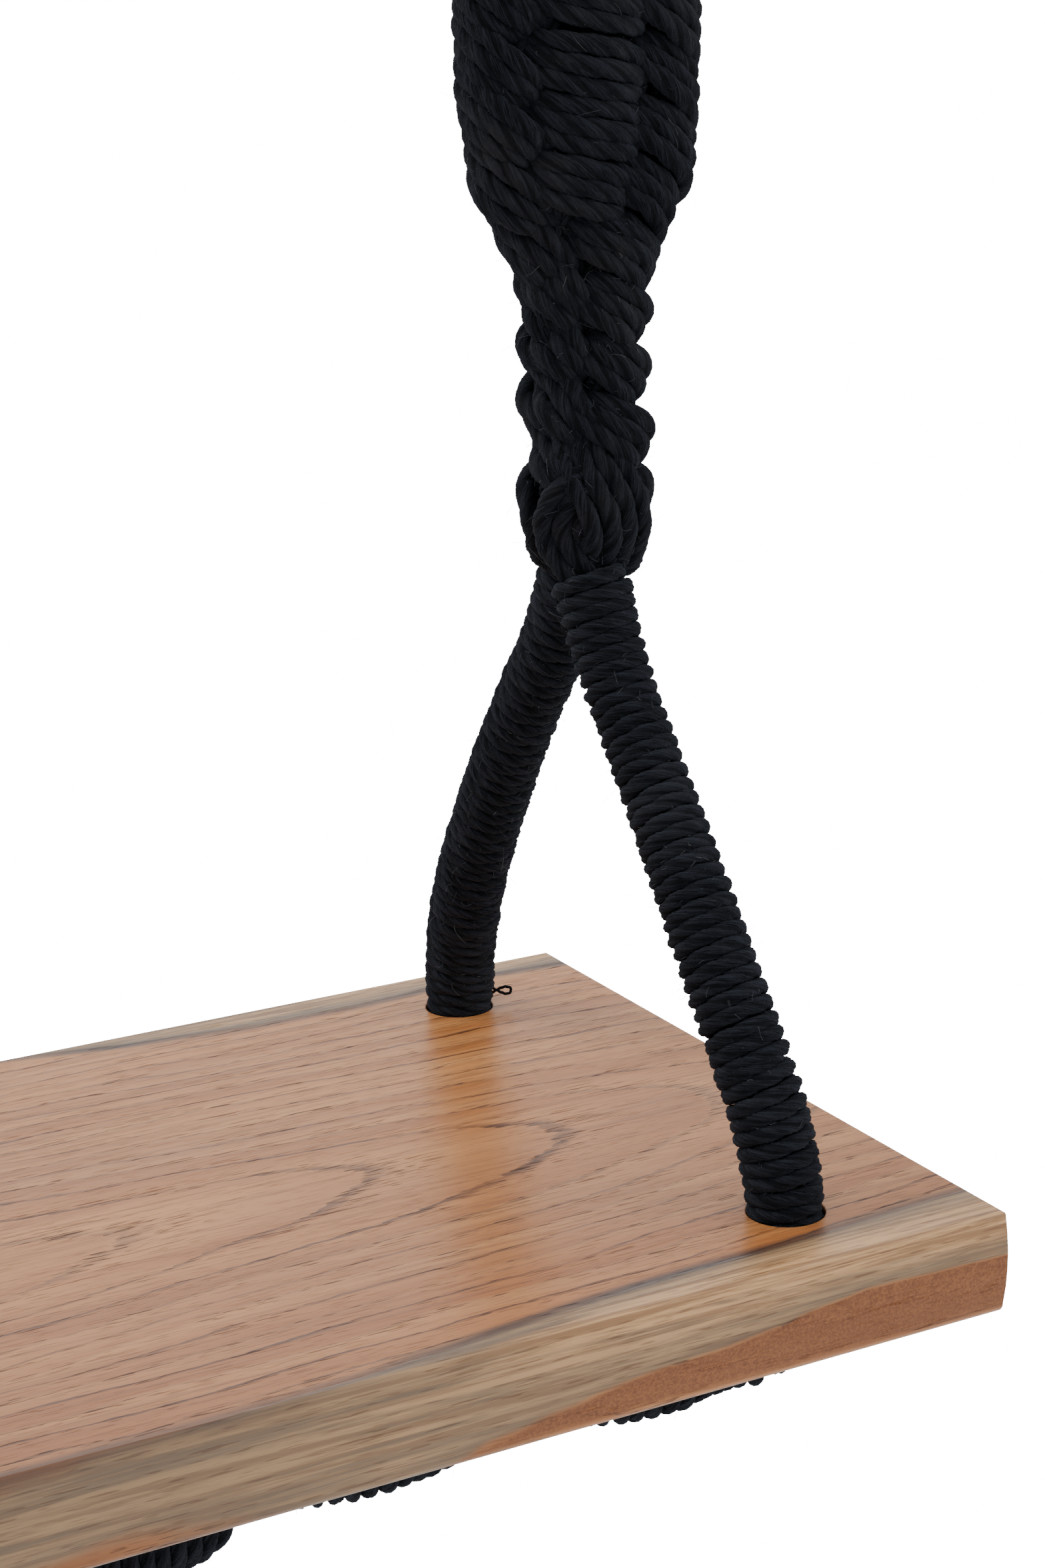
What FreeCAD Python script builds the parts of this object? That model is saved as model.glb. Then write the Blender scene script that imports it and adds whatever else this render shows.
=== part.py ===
import FreeCAD, Part
import math
import os

# Plank swing: a hardwood seat on two whipped ropes, gathered at each end into a knotted
# strap that loops over a steel ring under a ceiling plate.
# Millimetres. X runs along the seat, Y from front to back, Z up. The origin is midway
# between the two ceiling plates, in the plane of their top faces.

# seat
seat_length = 650.0
seat_depth = 250.0
seat_thickness = 30.0
seat_edge_bulge = 1.6
seat_bottom_round = 3.5
seat_top_round = 0.8
hole_inset = 49.6
hole_y = 94.0
hole_radius = 10.6
hole_mouth_round = 8.0
hole_top_round = 0.6

# how far the straps hang inside the seat's holes
leg_lean = 4.8

# height of the beam's face above the seat's top face
drop = 465.0

# ropes
core_diameter = 11.6
rope_diameter = 20.0
splice_diameter = 27.0

# junction knot and straps
knot_height = 170.0
knot_radius = 16.5
knot_gap = 0.6
narrow_width = 34.0
narrow_thickness = 26.0
wide_width = 70.0
wide_thickness = 28.0
neck_width = 44.0
narrow_bottom = 185.0
narrow_top = 245.0
wide_bottom = 266.0
wide_top = 322.0
neck_bottom = 343.0
neck_top = 374.0

# steel ring, bow and plate
bar_radius = 4.0
ring_radius = 26.0
bar_gap = 0.3
bow_half_width = 17.0
bow_corner = 10.0
bow_reach = 26.0
plate_width = 60.0
plate_length = 76.0
plate_thickness = 5.0
plate_corner = 8.0
screw_spacing = 56.0
screw_radius = 2.75
screw_head_radius = 5.4
screw_head_depth = 2.5

# share of a run that a bend may use, next to each of its ends
bend_share = 0.45

hole_x = seat_length / 2 - hole_inset
strap_x = hole_x - leg_lean
ring_top_z = -bow_reach + 2 * bar_radius + bar_gap
ring_centre_z = ring_top_z - ring_radius
loop_z = ring_centre_z - ring_radius
loop_radius = bar_radius + bar_gap + rope_diameter / 2
under_z = -seat_thickness + hole_mouth_round - hole_radius - hole_mouth_round
sides = {"right": 1, "left": -1}
ends = {"front": -1, "back": 1}


def vector(x, y, height):
    """A point given by its height above the seat's top face."""
    return FreeCAD.Vector(x, y, height - drop)


def turn_angle(before, corner, after):
    return (corner - before).getAngle(after - corner)


def bend_radii(points, fixed):
    """Radius at each inner point: as large as the two runs allow, unless it is fixed."""
    radii = [0.0]
    for i in range(1, len(points) - 1):
        shorter = min(points[i].distanceToPoint(points[i - 1]), points[i].distanceToPoint(points[i + 1]))
        half = turn_angle(points[i - 1], points[i], points[i + 1]) / 2
        radii.append(fixed.get(i, bend_share * shorter / math.tan(half)))
    radii.append(0.0)
    return radii


def part_route(points, radii, start, end):
    """The stretch of a route between two places, each given as a run's number and a share of it."""
    first_run, first_share = start
    last_run, last_share = end
    first = points[first_run] + (points[first_run + 1] - points[first_run]) * first_share
    last = points[last_run] + (points[last_run + 1] - points[last_run]) * last_share
    inner = range(first_run + 1, last_run + 1)
    return [first] + [points[i] for i in inner] + [last], [0.0] + [radii[i] for i in inner] + [0.0]


def path_wire(points, radii):
    """Straight runs joined by tangent arcs."""
    edges = []
    at = points[0]
    for i in range(1, len(points) - 1):
        corner = points[i]
        back = (points[i - 1] - corner).normalize()
        on = (points[i + 1] - corner).normalize()
        half = turn_angle(points[i - 1], corner, points[i + 1]) / 2
        reach = radii[i] * math.tan(half)
        begin = corner + back * reach
        finish = corner + on * reach
        centre = corner + (back + on).normalize() * (radii[i] / math.cos(half))
        middle = centre + (corner - centre).normalize() * radii[i]
        if at.distanceToPoint(begin) > 0.001:
            edges.append(Part.LineSegment(at, begin).toShape())
        edges.append(Part.Arc(begin, middle, finish).toShape())
        at = finish
    edges.append(Part.LineSegment(at, points[-1]).toShape())
    return Part.Wire(edges)


def tube(points, radii, diameter):
    wire = path_wire(points, radii)
    direction = points[1] - points[0]
    circle = Part.Circle(points[0], direction, diameter / 2).toShape()
    return wire.makePipeShell([Part.Wire([circle])], True, False)


def report(name, points, radii, diameter):
    """Prints a cord's length, bend radii and how its volume compares with section times length."""
    length = path_wire(points, radii).Length
    section = math.pi * diameter ** 2 / 4
    ratio = tube(points, radii, diameter).Volume / (section * length)
    bends = " ".join("%.0f" % radius for radius in radii[1:-1])
    print("%s: length %.1f, volume ratio %.4f, bend radii %s" % (name, length, ratio, bends))


def save(shape, node):
    if not shape.isValid():
        print("invalid:", node)
    shape.exportStep("parts/%s.step" % node)
    print("%s: %d solid, %.0f mm3" % (node, len(shape.Solids), shape.Volume))


def seat_board():
    """The plank: bowed long edges, four rope holes with deep rounded mouths underneath."""
    half = seat_depth / 2
    low = -seat_thickness
    r = seat_bottom_round
    near_arc = r * (1 - math.sqrt(0.5))
    top_front = vector(0, -half, 0)
    top_back = vector(0, half, 0)
    side_front = vector(0, -half, low + r)
    side_back = vector(0, half, low + r)
    low_front = vector(0, -half + r, low)
    low_back = vector(0, half - r, low)
    bulge_height = (low + r) / 2
    outline = [
        Part.LineSegment(top_back, top_front).toShape(),
        Part.Arc(top_front, vector(0, -half - seat_edge_bulge, bulge_height), side_front).toShape(),
        Part.Arc(side_front, vector(0, -half + near_arc, low + near_arc), low_front).toShape(),
        Part.LineSegment(low_front, low_back).toShape(),
        Part.Arc(low_back, vector(0, half - near_arc, low + near_arc), side_back).toShape(),
        Part.Arc(side_back, vector(0, half + seat_edge_bulge, bulge_height), top_back).toShape(),
    ]
    board = Part.Face(Part.Wire(outline)).extrude(FreeCAD.Vector(seat_length, 0, 0))
    board.translate(FreeCAD.Vector(-seat_length / 2, 0, 0))
    board = board.makeFillet(seat_top_round, edges_at(board, 0))
    for side in sides.values():
        for end in ends.values():
            base = vector(side * hole_x, end * hole_y, low - 1)
            board = board.cut(Part.makeCylinder(hole_radius, seat_thickness + 2, base))
    board = board.makeFillet(hole_mouth_round, hole_edges_at(board, low))
    return board.makeFillet(hole_top_round, hole_edges_at(board, 0))


def edges_at(shape, height):
    """Edges that lie wholly at one height."""
    level = height - drop
    found = []
    for edge in shape.Edges:
        box = edge.BoundBox
        if abs(box.ZMin - level) < 0.01 and abs(box.ZMax - level) < 0.01:
            found.append(edge)
    return found


def hole_edges_at(shape, height):
    return [edge for edge in edges_at(shape, height) if isinstance(edge.Curve, Part.Circle)]


def seat_rope_route(end_name, end):
    """One whole rope: down a leg, through its hole, under the seat, and up the other leg."""
    upper = {
        "front": [(10.3, 158), (16, 137), (29, 115), (56, 79)],
        "back": [(10.3, 158), (18, 137), (34, 116), (58, 80)],
    }
    right = [vector(strap_x, end * y, height) for y, height in upper[end_name]]
    right.append(vector(strap_x + 0.8, end * 76.5, 49))
    right.append(vector(strap_x + 3.6, end * 89, 25))
    right.append(vector(hole_x, end * hole_y, 0))
    right.append(vector(hole_x, end * hole_y, under_z))
    right.append(vector(222, end * (hole_y - 1.5), under_z - 1.0))
    right.append(vector(172, end * (hole_y + 1.0), under_z - 0.6))
    right.append(vector(124, end * (hole_y - 0.5), under_z - 4.2))
    right.append(vector(66, end * (hole_y + 0.8), under_z - 4.8))
    middle = [vector(0, end * (hole_y - 0.4), under_z - 4.4)]
    left = [FreeCAD.Vector(-p.x, p.y, p.z) for p in reversed(right)]
    return right + middle + left


def seat_ropes(end_name, end):
    """The core and the five whippings of the front or the back rope."""
    points = seat_rope_route(end_name, end)
    last = len(points) - 1
    turn = hole_radius + hole_mouth_round
    radii = bend_radii(points, {7: turn, last - 7: turn})
    report(end_name + " core rope", points, radii, core_diameter)
    report(end_name + " whipped rope", points, radii, rope_diameter)
    core = tube(points, radii, core_diameter)
    places = {
        "upper": ((0, 0.0), (4, 0.5), rope_diameter),
        "lower": ((4, 0.5), (10, 0.3), rope_diameter),
        "splice": ((10, 0.3), (last - 11, 0.7), splice_diameter),
    }
    whippings = {}
    for name, (start, finish, diameter) in places.items():
        stretch, bends = part_route(points, radii, start, finish)
        whippings[name] = clear_of_knots(tube(stretch, bends, diameter).cut(core))
    for name in ("upper", "lower"):
        save(whippings[name], "right_%s_%s_whipping" % (end_name, name))
        save(mirrored(whippings[name]), "left_%s_%s_whipping" % (end_name, name))
    save(whippings["splice"], end_name + "_splice_whipping")
    save(clear_of_knots(core), end_name + "_core_rope")


def mirrored(shape):
    """The same shape at the other end of the seat."""
    return shape.mirror(FreeCAD.Vector(0, 0, 0), FreeCAD.Vector(1, 0, 0))


def knot_ball(side, radius):
    return Part.makeSphere(radius, vector(side * strap_x, 0, knot_height))


def clear_of_knots(shape):
    for side in sides.values():
        shape = shape.cut(knot_ball(side, knot_radius + knot_gap))
    return shape


def filler_route(side):
    """The strap's inner cords: up one half, over the ring's bar, and down the other half."""
    loop_height = loop_z + drop
    half = [(7.3, 180), (6.8, 218), (7.5, 252), (11.5, 286), (12.5, 316), (10.6, 344), (11.2, 366)]
    half.append((loop_radius, loop_height - 9))
    half.append((loop_radius, loop_height + loop_radius))
    up = [vector(side * strap_x + x, 0, height) for x, height in half]
    down = [vector(side * strap_x - x, 0, height) for x, height in reversed(half)]
    return up + down


def oval(side, width, thickness, height):
    ellipse = Part.Ellipse(vector(side * strap_x, 0, height), width / 2, thickness / 2)
    return Part.Wire([ellipse.toShape()])


def band(side, sections):
    return Part.makeLoft([oval(side, *section) for section in sections], True, False)


def strap(side_name, side):
    """Knotted strap of one side: inner cords, two sinnets, neck wrap and the whipped top loop."""
    points = filler_route(side)
    top = len(points) // 2
    radii = bend_radii(points, {top - 1: loop_radius, top: loop_radius})
    report(side_name + " filler cords", points, radii, core_diameter)
    filler = clear_of_knots(tube(points, radii, core_diameter))
    narrow_end = (narrow_width, narrow_thickness, narrow_top)
    narrow = band(side, [(narrow_width, narrow_thickness, narrow_bottom), narrow_end])
    wide_start = (wide_width, wide_thickness, wide_bottom)
    wide_end = (wide_width, wide_thickness, wide_top)
    neck_start = (neck_width, wide_thickness, neck_bottom)
    wide = band(side, [narrow_end, wide_start]).fuse(band(side, [wide_start, wide_end]))
    wide = wide.fuse(band(side, [wide_end, neck_start])).removeSplitter()
    neck = band(side, [neck_start, (neck_width, wide_thickness, neck_top)])
    loop_points, loop_radii = part_route(points, radii, (6, 0.46), (len(points) - 8, 0.54))
    loop = tube(loop_points, loop_radii, rope_diameter)
    save(filler, side_name + "_filler_cords")
    save(clear_of_knots(narrow.cut(filler)), side_name + "_narrow_sinnet")
    save(wide.cut(filler), side_name + "_wide_sinnet")
    save(neck.cut(filler).cut(loop), side_name + "_neck_wrap")
    save(loop.cut(filler), side_name + "_loop_whipping")
    save(knot_ball(side, knot_radius), side_name + "_junction_knot")


def ring(side):
    centre = FreeCAD.Vector(side * strap_x, 0, ring_centre_z)
    return Part.makeTorus(ring_radius, bar_radius, centre, FreeCAD.Vector(1, 0, 0))


def bow(side):
    """Bent round bar whose ends sit in the plate's two inner holes."""
    x = side * strap_x
    points = [
        FreeCAD.Vector(x + bow_half_width, 0, 0),
        FreeCAD.Vector(x + bow_half_width, 0, -bow_reach),
        FreeCAD.Vector(x - bow_half_width, 0, -bow_reach),
        FreeCAD.Vector(x - bow_half_width, 0, 0),
    ]
    return tube(points, [0.0, bow_corner, bow_corner, 0.0], 2 * bar_radius)


def plate(side):
    """Ceiling plate with two countersunk screw holes."""
    x = side * strap_x
    corner = FreeCAD.Vector(x - plate_width / 2, -plate_length / 2, -plate_thickness)
    shape = Part.makeBox(plate_width, plate_length, plate_thickness, corner)
    upright = [edge for edge in shape.Edges if edge.BoundBox.ZLength > plate_thickness / 2]
    shape = shape.makeFillet(plate_corner, upright)
    for end in ends.values():
        base = FreeCAD.Vector(x, end * screw_spacing / 2, -plate_thickness)
        shape = shape.cut(Part.makeCylinder(screw_radius, plate_thickness, base))
        shape = shape.cut(Part.makeCone(screw_head_radius, screw_radius, screw_head_depth, base))
    for foot in (-bow_half_width, bow_half_width):
        base = FreeCAD.Vector(x + foot, 0, -plate_thickness)
        shape = shape.cut(Part.makeCylinder(bar_radius, plate_thickness, base))
    return shape


os.makedirs("parts", exist_ok=True)
save(seat_board(), "seat_board")
for end_name, end in ends.items():
    seat_ropes(end_name, end)
for side_name, side in sides.items():
    strap(side_name, side)
    save(ring(side), side_name + "_ring")
    save(bow(side), side_name + "_hanger_bow")
    save(plate(side), side_name + "_ceiling_plate")
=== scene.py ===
import bpy
import bmesh
import math
import random
import numpy as np
from mathutils import Vector, Matrix


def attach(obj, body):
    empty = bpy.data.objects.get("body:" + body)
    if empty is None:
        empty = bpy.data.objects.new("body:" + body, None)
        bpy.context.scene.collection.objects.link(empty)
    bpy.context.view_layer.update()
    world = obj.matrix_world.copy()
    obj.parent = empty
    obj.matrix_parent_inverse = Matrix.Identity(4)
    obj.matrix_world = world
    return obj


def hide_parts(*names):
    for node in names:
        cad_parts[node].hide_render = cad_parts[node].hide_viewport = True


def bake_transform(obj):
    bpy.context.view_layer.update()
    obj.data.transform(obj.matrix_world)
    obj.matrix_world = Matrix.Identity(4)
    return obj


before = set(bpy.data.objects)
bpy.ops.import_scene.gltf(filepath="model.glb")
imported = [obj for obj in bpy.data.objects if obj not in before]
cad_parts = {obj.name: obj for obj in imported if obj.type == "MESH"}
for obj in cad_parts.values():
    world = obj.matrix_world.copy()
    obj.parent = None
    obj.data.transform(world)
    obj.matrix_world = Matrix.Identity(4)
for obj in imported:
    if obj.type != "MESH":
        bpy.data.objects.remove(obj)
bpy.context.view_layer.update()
print("frame loaded")

# sizes shared by several pieces: the tables are in mm, and mm turns them into metres
mm = 0.001
drop = 465.0                     # beam face above the seat's top face, mm
strapX = 270.6                   # the straps' distance from the middle, mm
holeX = 275.4                    # the seat holes, mm
holeY = 94.0
underZ = -40.6                   # rope centre just under the seat, from its top face
random.seed(7)
noiseTable = np.random.default_rng(7)
sides = {"right": 1, "left": -1}
ends = {"front": -1, "back": 1}


cameraSettings = {"place": (-0.14058, -0.7154, -0.13401), "azimuth": 28.565, "elevation": 15.812,
                  "roll": -1.135, "lens": 69.16}


def placeCamera(settings):
    data = bpy.data.cameras.new("camera")
    data.sensor_fit = "VERTICAL"
    data.sensor_height = 36.0
    data.lens = settings["lens"]
    data.clip_end = 50.0
    camera = bpy.data.objects.new("camera", data)
    bpy.context.scene.collection.objects.link(camera)
    turn = Matrix.Rotation(math.radians(-settings["azimuth"]), 4, "Z")
    tilt = Matrix.Rotation(math.radians(90 - settings["elevation"]), 4, "X")
    roll = Matrix.Rotation(math.radians(settings["roll"]), 4, "Z")
    camera.matrix_world = Matrix.Translation(settings["place"]) @ turn @ tilt @ roll
    bpy.context.scene.camera = camera


placeCamera(cameraSettings)
print("camera placed")


def newMaterial(name):
    material = bpy.data.materials.new(name)
    material.use_nodes = True
    tree = material.node_tree
    tree.nodes.clear()
    output = tree.nodes.new("ShaderNodeOutputMaterial")
    shader = tree.nodes.new("ShaderNodeBsdfPrincipled")
    tree.links.new(shader.outputs["BSDF"], output.inputs["Surface"])
    return material, tree, shader


def addNode(tree, kind, settings=None, **inputs):
    # inputs are plain values or sockets; underscores stand for spaces in a socket's name
    node = tree.nodes.new(kind)
    for key, value in (settings or {}).items():
        setattr(node, key, value)
    for key, value in inputs.items():
        name = key.replace("_", " ")
        socket = node.inputs[int(key[1:])] if key[0] == "i" and key[1:].isdigit() else node.inputs[name]
        if isinstance(value, bpy.types.NodeSocket):
            tree.links.new(value, socket)
        else:
            socket.default_value = value
    return node


def mathNode(tree, operation, a, b=0.5, c=0.5):
    node = addNode(tree, "ShaderNodeMath", {"operation": operation}, i0=a, i1=b, i2=c)
    return node.outputs[0]


def plus(tree, a, b):
    return mathNode(tree, "ADD", a, b)


def minus(tree, a, b):
    return mathNode(tree, "SUBTRACT", a, b)


def times(tree, a, b):
    return mathNode(tree, "MULTIPLY", a, b)


def spread(tree, value, low, high, toLow=0.0, toHigh=1.0, smooth=True):
    kind = "SMOOTHSTEP" if smooth else "LINEAR"
    node = addNode(tree, "ShaderNodeMapRange", {"interpolation_type": kind}, Value=value,
                   From_Min=low, From_Max=high, To_Min=toLow, To_Max=toHigh)
    return node.outputs[0]


def mixColour(tree, share, a, b):
    node = addNode(tree, "ShaderNodeMix", {"data_type": "RGBA", "clamp_factor": True})
    for socket, value in ((node.inputs[0], share), (node.inputs[6], a), (node.inputs[7], b)):
        if isinstance(value, bpy.types.NodeSocket):
            tree.links.new(value, socket)
        else:
            socket.default_value = value
    return node.outputs[2]


def noise(tree, vector, scale, detail=3.0, roughness=0.55, distortion=0.0):
    node = addNode(tree, "ShaderNodeTexNoise", Vector=vector, Scale=scale, Detail=detail,
                   Roughness=roughness, Distortion=distortion)
    return node.outputs["Fac"]


def stretched(tree, vector, scale, place=(0, 0, 0)):
    return addNode(tree, "ShaderNodeMapping", Vector=vector, Scale=scale, Location=place).outputs[0]


def rgb(r, g, b):
    return (r, g, b, 1.0)


def newGroup(name, inputs, outputs):
    group = bpy.data.node_groups.new(name, "ShaderNodeTree")
    for label, kind in inputs:
        group.interface.new_socket(name=label, in_out="INPUT", socket_type=kind)
    for label, kind in outputs:
        group.interface.new_socket(name=label, in_out="OUTPUT", socket_type=kind)
    return group, group.nodes.new("NodeGroupInput"), group.nodes.new("NodeGroupOutput")


def useGroup(tree, group, **inputs):
    return addNode(tree, "ShaderNodeGroup", {"node_tree": group}, **inputs)


def yarnGroup():
    # fine fibres that run along each ply, from the straight cord's own coordinates
    group, given, out = newGroup("cottonYarn", [("Fuzz", "NodeSocketFloat")],
                                 [("Fibre", "NodeSocketFloat"), ("ValleyShade", "NodeSocketFloat"),
                                  ("Patch", "NodeSocketFloat"), ("Height", "NodeSocketFloat")])
    place = addNode(group, "ShaderNodeAttribute", {"attribute_name": "cordPlace"}).outputs["Vector"]
    local = addNode(group, "ShaderNodeTexCoord").outputs["Object"]
    fine = noise(group, stretched(group, place, (330, 4200, 4200)), 1.0, 2.0, distortion=0.3)
    coarse = noise(group, stretched(group, place, (150, 1500, 1500)), 1.0, 2.0, distortion=0.9)
    lint = noise(group, local, 1400.0, 3.0, 0.7)
    fibre = plus(group, times(group, fine, 0.5), times(group, coarse, 0.5))
    ply = addNode(group, "ShaderNodeAttribute", {"attribute_name": "cordPly"}).outputs["Fac"]
    patch = noise(group, local, 34.0, 4.0, 0.65)
    height = plus(group, fibre, times(group, lint, given.outputs["Fuzz"]))
    group.links.new(spread(group, fibre, 0.36, 0.64), out.inputs["Fibre"])
    # painted shade: this output is low in the valleys between plies and high on their crowns, and it darkens
    # the valleys
    group.links.new(spread(group, ply, 0.0, 0.7), out.inputs["ValleyShade"])
    group.links.new(spread(group, patch, 0.45, 0.72), out.inputs["Patch"])
    group.links.new(height, out.inputs["Height"])
    return group


# what all the cottons share, with the near-black colour of the painted shade in the valleys between plies
cottonLook = {"valleyShadeColour": rgb(0.0012, 0.0013, 0.0018), "sheenTint": rgb(0.5, 0.58, 0.75), "specular": 0.1,
              "sheenRoughness": 0.5, "relief": 0.7 * mm}


def ropeMaterial(name, yarn, s):
    material, tree, shader = newMaterial(name)
    cotton = useGroup(tree, yarn, Fuzz=s["fuzz"])
    thread = mixColour(tree, cotton.outputs["Fibre"], s["dark"], s["light"])
    worn = mixColour(tree, times(tree, cotton.outputs["Patch"], s["worn"]), thread, s["dusty"])
    # painted shade: the valleys between plies are darkened towards a near-black colour
    valleyShadeShare = spread(tree, cotton.outputs["ValleyShade"], 0.0, 1.0, 0.8, 0.0)
    colour = mixColour(tree, valleyShadeShare, worn, cottonLook["valleyShadeColour"])
    tree.links.new(colour, shader.inputs["Base Color"])
    tree.links.new(spread(tree, cotton.outputs["Fibre"], 0.0, 1.0, 1.0, 0.82), shader.inputs["Roughness"])
    shader.inputs["Specular IOR Level"].default_value = cottonLook["specular"]
    shader.inputs["Sheen Weight"].default_value = s["sheen"]
    shader.inputs["Sheen Roughness"].default_value = cottonLook["sheenRoughness"]
    shader.inputs["Sheen Tint"].default_value = cottonLook["sheenTint"]
    relief = addNode(tree, "ShaderNodeBump", Strength=s["bump"], Distance=cottonLook["relief"],
                     Height=cotton.outputs["Height"])
    tree.links.new(relief.outputs["Normal"], shader.inputs["Normal"])
    return material


cottonSettings = {
    "whipping": {"dark": rgb(0.0006, 0.0007, 0.0011), "light": rgb(0.0155, 0.0175, 0.0255),
                 "dusty": rgb(0.028, 0.030, 0.038), "worn": 0.35, "sheen": 0.06, "bump": 1.0, "fuzz": 0.6},
    "knot": {"dark": rgb(0.0005, 0.0006, 0.001), "light": rgb(0.0145, 0.0165, 0.0245),
             "dusty": rgb(0.032, 0.031, 0.034), "worn": 0.42, "sheen": 0.05, "bump": 1.0, "fuzz": 0.6},
    "lint": {"dark": rgb(0.03, 0.034, 0.044), "light": rgb(0.12, 0.125, 0.145),
             "dusty": rgb(0.22, 0.19, 0.16), "worn": 0.5, "sheen": 0.2, "bump": 0.2, "fuzz": 0.2},
}

yarn = yarnGroup()
whippingCotton = ropeMaterial("whippingCotton", yarn, cottonSettings["whipping"])
knotCotton = ropeMaterial("knotCotton", yarn, cottonSettings["knot"])
lintCotton = ropeMaterial("lintCotton", yarn, cottonSettings["lint"])


teakSettings = {
    "pithY": -0.016, "pithDepth": 0.036, "pithClimb": 0.105, "ringGap": 0.0061,
    "halfLength": 325 * mm, "cutFace": (124.6 * mm, 125.2 * mm),
    # how far out the sapwood begins on the top face, over the board's length, as shares of its reach
    "sapReach": (100 * mm, 130 * mm), "sapWander": 3.5 * mm,
    "frontLine": [(0.0, 0.6), (0.19, 0.72), (0.3, 0.8), (0.4, 0.822), (0.5, 0.822), (0.566, 0.82),
                  (0.634, 0.812), (0.68, 0.78), (0.708, 0.735), (0.754, 0.65), (0.797, 0.51), (0.858, 0.4),
                  (0.9, 0.4), (1.0, 0.233)],
    "backLine": [(0.0, 0.55), (0.15, 0.7), (0.3, 0.93), (0.6, 0.97), (0.703, 0.85), (0.762, 0.567),
                 (0.825, 0.367), (0.883, 0.353), (0.952, 0.5), (1.0, 0.4)],
    # how fast that limit moves out with depth, as a share of the steepest, and the same on the back
    "steepest": 2.0, "backSlope": 0.6,
    "frontSlope": [(0.0, 0.175), (0.19, 0.1), (0.3, 0.02), (0.36, 0.0), (0.72, 0.0), (0.745, 0.07),
                   (0.77, 0.15), (0.797, 0.25), (0.83, 0.37), (0.89, 0.5), (0.93, 0.73), (1.0, 0.8)],
    "heartDark": rgb(0.348, 0.126, 0.038), "heartLight": rgb(0.543, 0.227, 0.075),
    "heartTan": rgb(0.652, 0.318, 0.121), "heartRed": rgb(0.326, 0.107, 0.029),
    "heartDeep": rgb(0.185, 0.063, 0.02), "ringLine": rgb(0.075, 0.028, 0.012),
    "pore": rgb(0.055, 0.02, 0.009), "mineral": rgb(0.045, 0.03, 0.032),
    "sapLight": rgb(0.622, 0.362, 0.17), "sapDark": rgb(0.311, 0.165, 0.074),
    "sapGrey": rgb(0.15, 0.11, 0.075), "rim": rgb(0.035, 0.026, 0.026),
    "brickDark": rgb(0.15, 0.047, 0.015), "brickLight": rgb(0.28, 0.10, 0.031),
}


def curveOver(tree, value, points):
    node = tree.nodes.new("ShaderNodeFloatCurve")
    curve = node.mapping.curves[0]
    curve.points[0].location = points[0]
    curve.points[1].location = points[-1]
    for x, y in points[1:-1]:
        curve.points.new(x, y)
    for point in curve.points:
        point.handle_type = "VECTOR"
    node.mapping.update()
    tree.links.new(value, node.inputs["Value"])
    return node.outputs[0]


def grainGroup(s):
    # growth rings round a pith that climbs along the board, so flames show on the top
    group, given, out = newGroup("growthRings", [("Place", "NodeSocketVector")],
                                 [("Ring", "NodeSocketFloat"), ("Tone", "NodeSocketFloat")])
    local = given.outputs["Place"]
    split = addNode(group, "ShaderNodeSeparateXYZ", Vector=local)
    x, y, z = split.outputs[0], split.outputs[1], plus(group, split.outputs[2], drop * mm)
    sway = minus(group, noise(group, stretched(group, local, (5, 15, 15)), 1.0, 3.0), 0.5)
    across = plus(group, minus(group, y, s["pithY"]), times(group, sway, 0.03))
    depth = plus(group, plus(group, times(group, x, s["pithClimb"]), s["pithDepth"]), z)
    radius = mathNode(group, "SQRT", plus(group, times(group, across, across), times(group, depth, depth)))
    ragged = minus(group, noise(group, stretched(group, local, (150, 650, 650)), 1.0, 2.0), 0.5)
    drift = noise(group, stretched(group, local, (1.5, 9, 9)), 1.0, 1.0)
    radius = plus(group, plus(group, radius, times(group, ragged, 0.0013)), times(group, drift, 0.026))
    rings = mathNode(group, "DIVIDE", radius, s["ringGap"])
    number = mathNode(group, "FLOOR", rings)
    tone = addNode(group, "ShaderNodeTexWhiteNoise", {"noise_dimensions": "1D"}, W=number).outputs["Value"]
    group.links.new(mathNode(group, "FRACT", rings), out.inputs["Ring"])
    group.links.new(tone, out.inputs["Tone"])
    return group


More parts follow.
